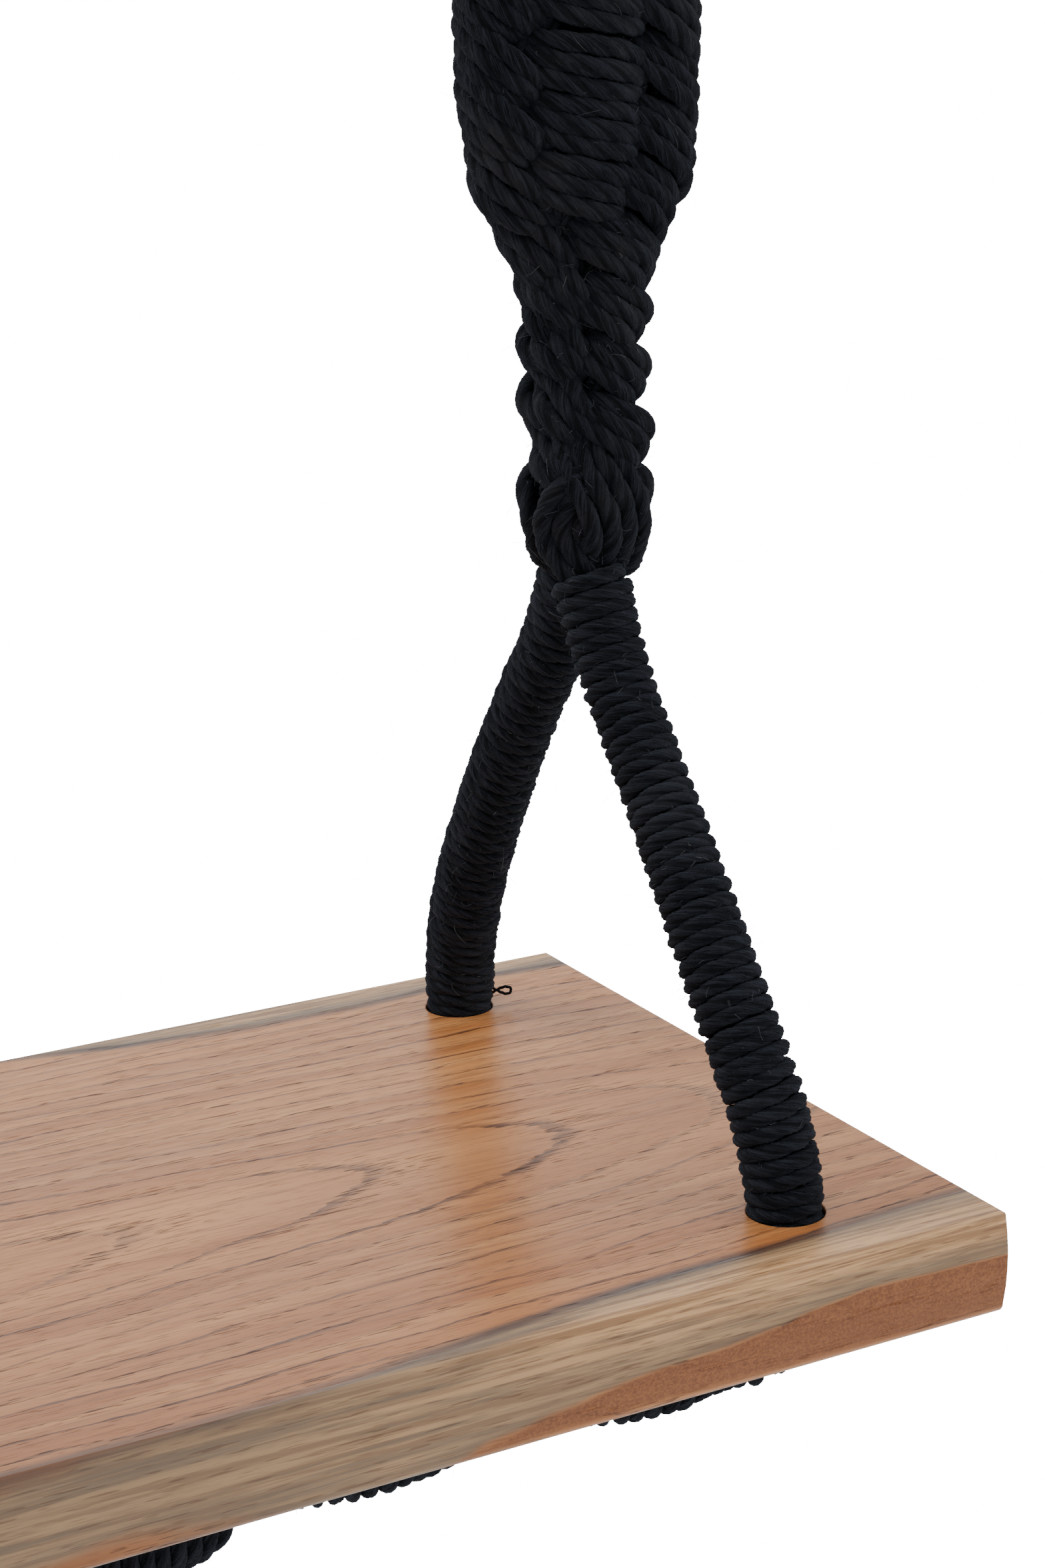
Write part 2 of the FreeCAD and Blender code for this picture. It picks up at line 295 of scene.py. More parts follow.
def teakMaterial(s):
    material, tree, shader = newMaterial("oiledTeak")
    local = addNode(tree, "ShaderNodeTexCoord").outputs["Object"]
    split = addNode(tree, "ShaderNodeSeparateXYZ", Vector=local)
    x, y, z = split.outputs[0], split.outputs[1], plus(tree, split.outputs[2], drop * mm)
    grain = useGroup(tree, grainGroup(s), Place=local)
    ring, tone = grain.outputs["Ring"], grain.outputs["Tone"]
    line = times(tree, spread(tree, ring, 0.0, 0.03), spread(tree, ring, 0.05, 0.2, 1.0, 0.0))
    broad = noise(tree, stretched(tree, local, (2.4, 15, 15)), 1.0, 3.0)
    medium = noise(tree, stretched(tree, local, (6, 70, 70)), 1.0, 4.0, 0.6)
    streaks = noise(tree, stretched(tree, local, (9, 520, 520)), 1.0, 4.0, 0.65)
    pores = noise(tree, stretched(tree, local, (120, 2100, 2100)), 1.0, 1.0)
    # heartwood
    heart = mixColour(tree, spread(tree, broad, 0.32, 0.68), s["heartDark"], s["heartLight"])
    heart = mixColour(tree, times(tree, tone, 0.45), heart, s["heartTan"])
    heart = mixColour(tree, spread(tree, medium, 0.42, 0.72, 0.0, 0.55), heart, s["heartRed"])
    heart = mixColour(tree, spread(tree, ring, 0.2, 1.0, 0.0, 0.35), heart, s["heartRed"])
    heart = mixColour(tree, spread(tree, streaks, 0.44, 0.72, 0.0, 0.5), heart, s["heartDeep"])
    gaps = noise(tree, stretched(tree, local, (30, 500, 500)), 1.0, 3.0)
    broken = spread(tree, gaps, 0.36, 0.6, 0.45, 1.0)
    drawn = times(tree, times(tree, line, broken), spread(tree, tone, 0.0, 1.0, 0.95, 0.4))
    heart = mixColour(tree, drawn, heart, s["ringLine"])
    dash = times(tree, spread(tree, pores, 0.58, 0.65), spread(tree, ring, 0.0, 0.6, 1.0, 0.3))
    heart = mixColour(tree, times(tree, dash, 0.95), heart, s["pore"])
    mineral = noise(tree, stretched(tree, local, (2.6, 150, 60), (3.1, 0.4, 0)), 1.0, 2.0, 0.4)
    heart = mixColour(tree, spread(tree, mineral, 0.72, 0.78, 0.0, 0.75), heart, s["mineral"])
    # sapwood along both long edges
    length = spread(tree, x, -s["halfLength"], s["halfLength"], smooth=False)
    wander = minus(tree, noise(tree, stretched(tree, local, (16, 0.1, 60)), 1.0, 3.0), 0.5)
    wander = times(tree, wander, s["sapWander"])
    frontLine = curveOver(tree, length, s["frontLine"])
    frontLine = spread(tree, frontLine, 0.0, 1.0, *s["sapReach"], smooth=False)
    slope = times(tree, curveOver(tree, length, s["frontSlope"]), s["steepest"])
    front = minus(tree, times(tree, y, -1.0), frontLine)
    front = plus(tree, plus(tree, front, times(tree, z, slope)), wander)
    backLine = curveOver(tree, length, s["backLine"])
    backLine = spread(tree, backLine, 0.0, 1.0, *s["sapReach"], smooth=False)
    back = plus(tree, plus(tree, minus(tree, y, backLine), times(tree, z, s["backSlope"])), wander)
    sap = mathNode(tree, "MAXIMUM", front, back)
    sapStreaks = noise(tree, stretched(tree, local, (15, 520, 520)), 1.0, 5.0, 0.7, 0.4)
    sapPores = noise(tree, stretched(tree, local, (90, 1500, 1500)), 1.0, 1.0)
    sapColour = mixColour(tree, spread(tree, sapStreaks, 0.42, 0.6), s["sapLight"], s["sapDark"])
    grey = noise(tree, stretched(tree, local, (7, 150, 200), (0.7, 0, 0.2)), 1.0, 5.0, 0.7, 0.3)
    sapColour = mixColour(tree, spread(tree, grey, 0.48, 0.64, 0.0, 0.75), sapColour, s["sapGrey"])
    nearRim = spread(tree, sap, 0.001, 0.011, 0.6, 0.0)
    sapColour = mixColour(tree, nearRim, sapColour, s["sapGrey"])
    sapColour = mixColour(tree, spread(tree, sapPores, 0.6, 0.68, 0.0, 0.45), sapColour, s["ringLine"])
    wood = mixColour(tree, spread(tree, sap, 0.0, 0.0012), heart, sapColour)
    rim = times(tree, spread(tree, sap, -0.0042, -0.0006), spread(tree, sap, 0.0003, 0.0030, 1.0, 0.0))
    rim = times(tree, rim, spread(tree, z, -0.005, -0.0008, 0.35, 1.0))
    rim = times(tree, rim, spread(tree, medium, 0.3, 0.6, 0.95, 0.6))
    wood = mixColour(tree, rim, wood, s["rim"])
    # the cut face below the sapwood, redder and speckled
    face = spread(tree, mathNode(tree, "ABSOLUTE", y), *s["cutFace"])
    cut = times(tree, face, spread(tree, sap, -0.0006, 0.0004, 1.0, 0.0))
    speck = noise(tree, local, 1300.0, 3.0, 0.7)
    brick = mixColour(tree, spread(tree, speck, 0.35, 0.68), s["brickDark"], s["brickLight"])
    brick = mixColour(tree, spread(tree, medium, 0.4, 0.7, 0.0, 0.5), brick, s["brickDark"])
    wood = mixColour(tree, times(tree, cut, 0.9), wood, brick)
    tree.links.new(wood, shader.inputs["Base Color"])
    rough = plus(tree, spread(tree, broad, 0.3, 0.7, 0.29, 0.37), times(tree, dash, 0.3))
    tree.links.new(plus(tree, rough, times(tree, face, 0.2)), shader.inputs["Roughness"])
    shader.inputs["Specular IOR Level"].default_value = 0.44
    relief = minus(tree, times(tree, streaks, 0.5), dash)
    relief = plus(tree, relief, times(tree, times(tree, sapStreaks, spread(tree, sap, 0.0, 0.001)), 1.2))
    bump = addNode(tree, "ShaderNodeBump", Strength=0.4, Distance=0.0003, Height=relief)
    tree.links.new(bump.outputs["Normal"], shader.inputs["Normal"])
    return material


def scratchGroup():
    group, given, out = newGroup("fineScratches", [("Scale", "NodeSocketFloat")],
                                 [("Mark", "NodeSocketFloat"), ("Cloud", "NodeSocketFloat")])
    local = addNode(group, "ShaderNodeTexCoord").outputs["Object"]
    scaled = addNode(group, "ShaderNodeVectorMath", {"operation": "SCALE"}, i0=local)
    group.links.new(given.outputs["Scale"], scaled.inputs["Scale"])
    marks = noise(group, stretched(group, scaled.outputs[0], (30, 900, 240)), 1.0, 3.0)
    cloud = noise(group, scaled.outputs[0], 90.0, 4.0)
    group.links.new(spread(group, marks, 0.35, 0.7), out.inputs["Mark"])
    group.links.new(spread(group, cloud, 0.35, 0.7), out.inputs["Cloud"])
    return group


def steelMaterial(name, scratches, s):
    material, tree, shader = newMaterial(name)
    marks = useGroup(tree, scratches, Scale=1.0)
    colour = mixColour(tree, marks.outputs["Cloud"], s["light"], s["dull"])
    tree.links.new(colour, shader.inputs["Base Color"])
    rough = spread(tree, marks.outputs["Mark"], 0.0, 1.0, s["smoothest"], s["roughest"])
    tree.links.new(rough, shader.inputs["Roughness"])
    shader.inputs["Metallic"].default_value = 1.0
    bump = addNode(tree, "ShaderNodeBump", Strength=0.12, Distance=0.0002, Height=marks.outputs["Mark"])
    tree.links.new(bump.outputs["Normal"], shader.inputs["Normal"])
    return material


steelSettings = {
    "ring": {"light": rgb(0.62, 0.62, 0.61), "dull": rgb(0.46, 0.46, 0.46),
             "smoothest": 0.2, "roughest": 0.36},
    "plate": {"light": rgb(0.5, 0.5, 0.5), "dull": rgb(0.36, 0.36, 0.365),
              "smoothest": 0.32, "roughest": 0.52},
}

teak = teakMaterial(teakSettings)
scratches = scratchGroup()
ringSteel = steelMaterial("ringSteel", scratches, steelSettings["ring"])
plateSteel = steelMaterial("plateSteel", scratches, steelSettings["plate"])
print("materials made")


blanks = {}


def cordBlank(ringCount, sideCount):
    # a straight closed tube, one unit between rings, with ring and column numbers for each corner
    key = (ringCount, sideCount)
    if key not in blanks:
        bm = bmesh.new()
        bmesh.ops.create_grid(bm, x_segments=ringCount - 1, y_segments=sideCount, size=0.5)
        for v in bm.verts:
            fold = 2 * math.pi * (v.co.y + 0.5)
            v.co = ((v.co.x + 0.5) * (ringCount - 1), math.cos(fold), math.sin(fold))
        bmesh.ops.remove_doubles(bm, verts=bm.verts[:], dist=0.001)
        bmesh.ops.holes_fill(bm, edges=bm.edges[:])
        bmesh.ops.recalc_face_normals(bm, faces=bm.faces[:])
        bm.verts.index_update()
        spots = np.array([v.co for v in bm.verts])
        faces = [[v.index for v in f.verts] for f in bm.faces]
        bm.free()
        turned = np.arctan2(spots[:, 2], spots[:, 1]) / (2 * math.pi)
        column = np.round(turned * sideCount).astype(int) % sideCount
        blanks[key] = (np.round(spots[:, 0]).astype(int), column, faces)
    return blanks[key]


def smoothLine(points):
    # the smooth curve of a given route, in metres
    curve = bpy.data.curves.new("line", "CURVE")
    curve.dimensions = "3D"
    curve.resolution_u = 14
    spline = curve.splines.new("NURBS")
    spline.points.add(len(points) - 1)
    for spot, point in zip(spline.points, points):
        spot.co = (*point, 1.0)
    spline.order_u = 3
    spline.use_endpoint_u = True
    holder = bpy.data.objects.new("line", curve)
    mesh = bpy.data.meshes.new_from_object(holder)
    line = np.array([v.co for v in mesh.vertices])
    bpy.data.objects.remove(holder)
    bpy.data.curves.remove(curve)
    bpy.data.meshes.remove(mesh)
    return line


def evenly(line, gap):
    steps = np.linalg.norm(np.diff(line, axis=0), axis=1)
    along = np.concatenate([[0], np.cumsum(steps)])
    count = max(int(round(along[-1] / gap)) + 1, 4)
    at = np.linspace(0, along[-1], count)
    return np.stack([np.interp(at, along, line[:, i]) for i in range(3)], axis=1), at


def carriedFrames(line):
    # two directions across the line, carried along it without twist, from one that no line starts in
    ahead = np.gradient(line, axis=0)
    ahead /= np.linalg.norm(ahead, axis=1)[:, None]
    first = np.cross(ahead[0], (0.31, 0.17, 0.93))
    across = np.zeros_like(line)
    across[0] = first / np.linalg.norm(first)
    for i in range(1, len(line)):
        side = across[i - 1] - ahead[i] * np.dot(across[i - 1], ahead[i])
        across[i] = side / np.linalg.norm(side)
    return ahead, across, np.cross(ahead, across)


def cordShape(line, radius, gap=1.6 * mm, lay=17 * mm, sideCount=12, valley=0.24, start=0.0):
    # corners, faces and attribute values of one three-ply cord laid along a line
    spots, along = evenly(line, gap)
    across, up = carriedFrames(spots)[1:]
    ring, column, faces = cordBlank(len(spots), sideCount)
    angle = 2 * math.pi * column / sideCount
    ply = np.abs(np.cos(1.5 * angle)) if valley else np.ones(len(angle))
    reach = radius * (1 - valley * (1 - ply))
    taper = np.clip(np.minimum(ring, len(spots) - 1 - ring) * 0.5 + 0.45, 0, 1)
    turn = angle + start + 2 * math.pi * along[ring] / lay
    flat = (reach * taper)[:, None]
    corners = spots[ring] + flat * (np.cos(turn)[:, None] * across[ring] + np.sin(turn)[:, None] * up[ring])
    place = np.stack([along[ring] + start, reach * np.cos(angle), reach * np.sin(angle)], axis=1)
    return corners, faces, place, ply


def buildPiece(name, shapes, lint, material, body, node):
    # one mesh of cords and lint, standing for one node; a body of None leaves it unattached
    corners, faces, places, plies = [], [], [], []
    offset = 0
    for spots, rings, place, ply in shapes + lint:
        corners.append(spots)
        places.append(place)
        plies.append(ply)
        faces.extend([[i + offset for i in face] for face in rings])
        offset += len(spots)
    mesh = bpy.data.meshes.new(name)
    mesh.from_pydata(np.concatenate(corners).tolist(), [], faces)
    mesh.shade_smooth()
    placed = mesh.attributes.new("cordPlace", "FLOAT_VECTOR", "POINT")
    placed.data.foreach_set("vector", np.concatenate(places).astype(np.float32).ravel())
    plied = mesh.attributes.new("cordPly", "FLOAT", "POINT")
    plied.data.foreach_set("value", np.concatenate(plies).astype(np.float32))
    mesh.materials.append(material)
    mesh.materials.append(lintCotton)
    corded = sum(len(shape[1]) for shape in shapes)
    mesh.polygons.foreach_set("material_index", [0] * corded + [1] * (len(faces) - corded))
    piece = bpy.data.objects.new(name, mesh)
    bpy.context.scene.collection.objects.link(piece)
    if body:
        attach(piece, body)
    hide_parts(node)
    return piece


# fine lint that stands off the cotton
lintSettings = {"thin": 0.035 * mm, "thick": 0.065 * mm, "short": 1.2 * mm, "long": 6.5 * mm,
                "closest": 0.2 * mm, "steps": 6}


def lintShapes(shapes, count, s=lintSettings):
    # short curled fibres that leave the cords' surfaces
    found = []
    for k in range(count):
        spots = shapes[random.randrange(len(shapes))][0]
        i = random.randrange(len(spots))
        j = random.randrange(max(i - 20, 0), min(i + 20, len(spots)))
        out = spots[i] - spots[j]
        size = np.linalg.norm(out)
        if size < s["closest"]:
            continue
        out = out / size + noiseTable.normal(0, 0.5, 3)
        curl = noiseTable.normal(0, 0.9, 3)
        length = random.uniform(s["short"], s["long"]) * random.uniform(0.4, 1)
        steps = np.linspace(0, 1, s["steps"] + 1)[:, None]
        bend = steps * out * 0.45 + steps ** 2 * curl * 0.6 - steps ** 3 * out * 0.3
        line = spots[i] + length * bend
        radius = random.uniform(s["thin"], s["thick"])
        found.append(cordShape(line, radius, length / s["steps"], sideCount=3, valley=0))
    return found


# the two seat ropes and their whippings, in mm
ropeSettings = {
    "core": 5.8, "rope": 10.4, "splice": 13.6, "cord": 2.45, "pitch": 4.25, "lay": 23,
    "coreGap": 3.2, "coreLay": 40,
    # height where the whipping starts anew, half length of the splice's whipping,
    # and how far the windings lap
    "joinHeight": 37, "spliceReach": 107, "lap": 1.6, "lowerExtra": 0.12, "spliceLess": 0.1,
    # how uneven the windings are in reach and in place, and how far round each leg's winding starts
    "uneven": 0.13, "drift": 0.3, "phase": 1.3,
    "lint": 620, "spliceLint": 150,
    # two spots on each leg, out from the middle and up
    "bendTop": (12, 156), "bendBottom": (28, 122),
}
# each leg from its top: distance outwards from the hole, distance from the middle, height
legPoints = {
    "front": [(-8.6, 8.8, 159), (-7.0, 15.5, 137), (-5.0, 29, 115), (-4.8, 56, 79), (-4.0, 76.5, 49),
              (-1.2, 89, 25), (-0.1, 93.4, 7), (0, 94, -7)],
    "back": [(-2.4, 10.6, 159), (-3.6, 18, 137), (-4.8, 34, 116), (-4.8, 58, 80), (-4.0, 76.5, 49),
             (-1.2, 89, 25), (-0.1, 93.4, 7), (0, 94, -7)],
}
# how much thicker than the bare rope each leg is wound, over its height
legSwell = {
    "heights": [-6, 0, 3, 10, 40, 75, 110, 140, 152, 162],
    "front": [0, 0.1, 0.4, 0.7, 0.9, 0.6, 0.1, 0.2, 0.9, 1.8],
    "back": [0, 0.1, 0.6, 0.9, 1.1, 0.8, 0.3, 0.1, 0.1, 0.1],
}
# a loose end of thread by the right back leg
threadSettings = {
    "points": [(283.0, 90.2, 2.6), (287.5, 87.6, 6.4), (290.6, 86.0, 5.6), (289.4, 86.4, 3.2),
               (286.4, 88.0, 4.6), (283.2, 89.8, 6.8)],
    "radius": 0.55, "gap": 0.5, "lay": 5,
}


def lowered(points):
    # mm with heights from the seat's top face, to metres from the ceiling plates
    return [(x * mm, y * mm, (z - drop) * mm) for x, y, z in points]


def seatRopeRoute(endName, end):
    right = [(holeX + x, end * y, z) for x, y, z in legPoints[endName]]
    right += [(holeX - 0.5, end * (holeY - 2.5), underZ + 0.4), (256, end * (holeY - 8.5), underZ),
              (234, end * (holeY - 1.0), underZ - 0.1), (196, end * (holeY - 17.0), underZ + 0.1),
              (154, end * (holeY - 1.0), underZ - 0.3), (121, end * (holeY - 19.0), underZ - 3.2),
              (90, end * (holeY - 2.5), underZ - 4.4)]
    left = [(-x, y, z) for x, y, z in reversed(right)]
    return lowered(right + [(0, end * (holeY - 0.4), underZ - 4.4)] + left)


def windCord(line, reach, pitch, start=0.0, perTurn=30, swell=None):
    # a helix of cord round a line, a little uneven, its tails tucked in
    s = ropeSettings
    spots, along = evenly(line, pitch * mm / perTurn)
    ahead, across, up = carriedFrames(spots)
    turns = along / (pitch * mm)
    every = np.arange(int(turns[-1] * 2) + 4) / 2
    uneven = np.interp(turns, every, noiseTable.normal(0, 1, len(every)))
    drift = np.interp(turns, every, noiseTable.normal(0, 1, len(every)))
    tuck = np.clip(np.minimum(turns, turns[-1] - turns) * 4, 0, 1)
    r = (reach * mm + s["uneven"] * mm * uneven) * (0.8 + 0.2 * tuck)
    if swell:
        r += np.interp(spots[:, 2] / mm + drop, legSwell["heights"], legSwell[swell]) * mm
    angle = 2 * math.pi * turns + start
    helix = spots + r[:, None] * (np.cos(angle)[:, None] * across + np.sin(angle)[:, None] * up)
    return helix + ahead * (s["drift"] * mm * drift)[:, None]


def looseThread(s):
    line = smoothLine(lowered(s["points"]))
    return cordShape(line, s["radius"] * mm, s["gap"] * mm, s["lay"] * mm, sideCount=6)


def seatRopes(endName, end):
    s = ropeSettings
    line = smoothLine(seatRopeRoute(endName, end))
    shapes = [cordShape(line, s["core"] * mm, s["coreGap"] * mm, s["coreLay"] * mm)]
    core = buildPiece(endName + "CoreRope", shapes, [], knotCotton, "seat", endName + "_core_rope")
    whippings = []
    dense = evenly(line, 0.5 * mm)[0]
    cutHeight = (s["joinHeight"] - drop) * mm
    spliceX = s["spliceReach"] * mm
    lap = s["lap"] * mm
    for sideName, side in sides.items():
        half = dense[dense[:, 0] > 0] if side > 0 else dense[dense[:, 0] < 0][::-1]
        upper = half[half[:, 2] > cutHeight - lap]
        lower = half[(half[:, 2] <= cutHeight + lap) & (np.abs(half[:, 0]) > spliceX - lap)]
        for part, stretch, thicker in (("Upper", upper, 0.0), ("Lower", lower, s["lowerExtra"])):
            reach = s["rope"] - s["cord"] + thicker
            helix = windCord(stretch, reach, s["pitch"], s["phase"] * side * end, swell=endName)
            shapes = [cordShape(helix, s["cord"] * mm, lay=s["lay"] * mm, start=random.random())]
            name = sideName + endName.capitalize() + part + "Whipping"
            node = "%s_%s_%s_whipping" % (sideName, endName, part.lower())
            lint = lintShapes(shapes, s["lint"])
            if name == "rightBackLowerWhipping":
                shapes.append(looseThread(threadSettings))
            bends = part == "Upper" and side > 0
            piece = buildPiece(name, shapes, lint, whippingCotton, None if bends else "seat", node)
            whippings.append(piece)
            if bends:
                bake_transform(piece)
    middle = dense[(np.abs(dense[:, 0]) <= spliceX) & (dense[:, 2] < cutHeight)]
    helix = windCord(middle, s["splice"] - s["cord"] - s["spliceLess"], s["pitch"])
    shapes = [cordShape(helix, s["cord"] * mm, lay=s["lay"] * mm)]
    lint = lintShapes(shapes, s["spliceLint"])
    whippings.append(buildPiece(endName + "SpliceWhipping", shapes, lint, whippingCotton, "seat",
                                endName + "_splice_whipping"))
    return core, line, whippings


for endName, end in ends.items():
    core, line, whippings = seatRopes(endName, end)
print("seat ropes wound")


# the knotted straps, in mm: their cords, and their half widths and half depths over height
strapSettings = {
    "cord": 3.0, "gap": 5.3, "lay": 25,
    "heights": [148, 158, 168, 180, 192, 203, 214, 225, 236, 246, 252, 258, 268, 282, 322, 343, 374],
    "halfWidths": [9, 9.8, 13.0, 14.4, 15.8, 15.2, 13.7, 14.2, 15.4, 17.0, 21, 26, 31, 33.2, 33.8, 22, 22],
    "halfDepths": [10, 13.0, 16, 15.4, 13.8, 12.8, 12.4, 12.6, 13, 13.2, 13.5, 14, 14.5, 14.5, 14.5, 14, 14],
    "squareness": 0.82,
    # a bundle's looseness in angle, height and lift, how its cords fan out, crown and wander
    "looseness": (1.5, 0.6, 0.3), "facing": (0.35, 1, 0), "fan": 2.2, "crown": 0.55, "fall": 0.45,
    "wander": 0.35, "uneven": (-0.15, 0.2), "layUneven": (0.85, 1.2),
}


def strapSpot(side, angle, height, lift):
    # a point on the strap's oval: angle 0 faces the front, 90 the right
    s = strapSettings
    a = np.interp(height, s["heights"], s["halfWidths"]) + lift
    b = np.interp(height, s["heights"], s["halfDepths"]) + lift
    sine, cosine = math.sin(math.radians(angle)), math.cos(math.radians(angle))
    x = a * math.copysign(abs(sine) ** s["squareness"], sine)
    y = -b * math.copysign(abs(cosine) ** s["squareness"], cosine)
    return ((side * strapX + x) * mm, y * mm, (height - drop) * mm)


def bundleShapes(side, stops, turned=0.0, rise=0.0, count=3, pinch=0.6, loose=1.2):
    # parallel cords that follow one given route on the strap's surface, drawn together where they dive
    s = strapSettings
    turnBy, riseBy, liftBy = noiseTable.normal(0, loose, 3) * s["looseness"]
    route = [strapSpot(side, a + turned + turnBy, h + rise + riseBy, l + liftBy - s["cord"])
             for a, h, l in stops]
    line = evenly(smoothLine(route), 1.2 * mm)[0]
    ahead = np.gradient(line, axis=0)
    ahead /= np.linalg.norm(ahead, axis=1)[:, None]
    out = (line - (side * strapX * mm, 0, 0)) * s["facing"]
    across = np.cross(ahead, out)
    across /= np.linalg.norm(across, axis=1)[:, None] + 1e-9
    out = np.cross(across, ahead)
    shapes = []
    steps = np.linspace(0, 1, len(line))
    fromMiddle = np.abs(np.linspace(-1, 1, len(line)))
    for k in range(count):
        place = k - (count - 1) / 2
        width = 1 - pinch * fromMiddle ** s["fan"]
        wander = np.interp(steps, [0, 0.35, 0.7, 1], noiseTable.normal(0, s["wander"], 4)) * mm
        shifted = line + across * (place * s["gap"] * mm * width + wander)[:, None]
        shifted += out * ((s["crown"] * (1 - fromMiddle ** 2) - s["fall"] * place * place) * mm)[:, None]
        radius = (s["cord"] + random.uniform(*s["uneven"])) * mm
        lay = s["lay"] * mm * random.uniform(*s["layUneven"])
        shapes.append(cordShape(shifted, radius, lay=lay, start=random.random() * 6, valley=0.2))
    return shapes


def hiddenCords(side, low, high, count, lift=-6.5, cord=3.1):
    # upright cords inside the knotting, seen only through its gaps
    shapes = []
    for k in range(count):
        route = [strapSpot(side, 360 * k / count, low + (high - low) * i / 4, lift) for i in range(5)]
        shapes.append(cordShape(smoothLine(route), cord * mm, start=random.random() * 6))
    return shapes


def moved(stops, turn=0.0, rise=0.0):
    return [(a + turn, h + rise, l) for a, h, l in stops]


# routes are angle, height and lift off the oval; faces are the angle and rise of front and back
wideSettings = {
    "inside": (250, 348, 14), "faces": ((0, 0.0), (180, 2.4)), "firstHeight": 264.7, "pitch": 16.4,
    "bar": [(-47, 5.5, -7.5), (-36, 4.2, -2.4), (-22, 2.2, 1.0), (-5, 0, 2.6), (9, -2, 2.0),
            (22, -4.2, -1.4), (34, -6.5, -7.5)],
    "lobe": [(6, 7.5, -7.5), (16, 4.4, -1.8), (33, -1, 3.0), (54, -7, 3.8), (76, -11, 2.2),
             (104, -16.5, 2.0), (126, -21.5, 2.2), (140, -25.5, -1.4), (151, -28, -7.5)],
    "barTurns": (-7, -3, 0, 0, 0), "lobeTurns": (-10, -4, 0, 0, 0, 0), "lobePinch": 0.62,
    "lowest": (-16, 250.5), "lowestPinch": 0.45, "lowestLoose": 0.8, "lint": 700,
}


def wideSinnet(sideName, side):
    s = wideSettings
    shapes = hiddenCords(side, *s["inside"])
    for face, rise in s["faces"]:
        for k, lobeTurn in enumerate(s["lobeTurns"]):
            height = s["firstHeight"] + s["pitch"] * k
            if k < len(s["barTurns"]):
                shapes += bundleShapes(side, moved(s["bar"], s["barTurns"][k]), face, height + rise)
            lobe = moved(s["lobe"], lobeTurn)
            shapes += bundleShapes(side, lobe, face, height + rise, pinch=s["lobePinch"])
        lowest = moved(s["lobe"], *s["lowest"])
        shapes += bundleShapes(side, lowest, face, rise, pinch=s["lowestPinch"], loose=s["lowestLoose"])
    lint = lintShapes(shapes, s["lint"])
    buildPiece(sideName + "WideSinnet", shapes, lint, knotCotton, sideName + "_strap",
               sideName + "_wide_sinnet")


narrowSettings = {
    "inside": (184, 256, 8), "faces": ((0, 0.0), (180, 7.4)), "firstHeight": 200.5, "pitch": 15.6,
    "twist": [(-38, 9, -7.5), (-27, 7.5, -4.0), (-12, 5, 0.6), (14, 0.5, 4.0), (42, -4, 3.6),
              (72, -8.5, 0.6), (98, -12.5, -0.2), (122, -17, 1.8), (142, -21, 0.8), (156, -24, -3.4),
              (166, -26.5, -7.5)],
    "turns": (-4, 5, -2, 4), "pinch": 0.62, "loose": 1.1, "lint": 900,
    # two heights on the band
    "bendTop": 203, "bendBottom": 176,
}


def narrowSinnet(sideName, side):
    s = narrowSettings
    shapes = hiddenCords(side, *s["inside"])
    for face, rise in s["faces"]:
        for k, turn in enumerate(s["turns"]):
            stops = moved(s["twist"], turn, s["firstHeight"] + s["pitch"] * k)
            shapes += bundleShapes(side, stops, face, rise, pinch=s["pinch"], loose=s["loose"])
    lint = lintShapes(shapes, s["lint"])
    piece = buildPiece(sideName + "NarrowSinnet", shapes, lint, knotCotton, None, sideName + "_narrow_sinnet")
    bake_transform(piece)


knotSettings = {
    "insides": ((160, 187, 12, -3.6, 3.4), (151, 186, 6, -9.6, 4.0)), "lint": 900, "loose": 0.4,
    # each lobe's route, its number of cords and how much they draw together
    "lobes": [
        ([(10, 187, -6), (-8, 187, -1), (-38, 184, 1.6), (-62, 178, 2.6), (-70, 171.5, 2.2), (-52, 165, 2.2),
          (-24, 160.5, 1.4), (8, 158, -4.0)], 3, 0.3),
        ([(14, 184, -5), (30, 184, 0.2), (54, 181, 2.4), (74, 177, 2.6), (75, 172, 1.6), (54, 167.5, 0.6),
          (26, 163.5, -0.6), (0, 162, -5)], 3, 0.3),
        ([(-34, 200, -4), (-20, 193, 0.4), (-6, 185, 2.0), (4, 177, 2.2), (9, 169, 0.6), (6, 162, -1.5),
          (0, 157, -5)], 4, 0.35),
    ],
}


def junctionKnot(sideName, side):
    s = knotSettings
    shapes = []
    for inside in s["insides"]:
        shapes += hiddenCords(side, *inside)
    for face in (0, 180):
        for route, count, pinch in s["lobes"]:
            shapes += bundleShapes(side, route, face, 0, count, pinch, s["loose"])
    lint = lintShapes(shapes, s["lint"])
    buildPiece(sideName + "JunctionKnot", shapes, lint, knotCotton, sideName + "_knot",
               sideName + "_junction_knot")


# the strap's neck and the loop through the ring, in mm
neckSettings = {
    # one side of the filler cords: distance from the strap's middle, height
    "filler": [(7.3, 180), (6.8, 218), (7.5, 252), (11.5, 286), (12.5, 316), (10.6, 344), (11.2, 366)],
    "loopHeight": 395.3, "loopReach": 14.3, "loopBelow": 9, "fillerGap": 3, "fillerLay": 36,
    "loopBottom": 373, "loopRadius": 10, "inside": (338, 376, 12),
    "turns": 7, "perTurn": 40, "bottom": 345.5, "top": 372.5, "halfWidth": 19.4, "halfDepth": 12.0,
    "cord": 2.5, "lint": 160,
}


def fillerRoute(side):
    s = neckSettings
    half = s["filler"] + [(s["loopReach"], s["loopHeight"] - s["loopBelow"]),
                          (s["loopReach"], s["loopHeight"] + s["loopReach"])]
    up = [(side * strapX + x, 0, z) for x, z in half]
    down = [(side * strapX - x, 0, z) for x, z in reversed(half)]
    return lowered(up + down)


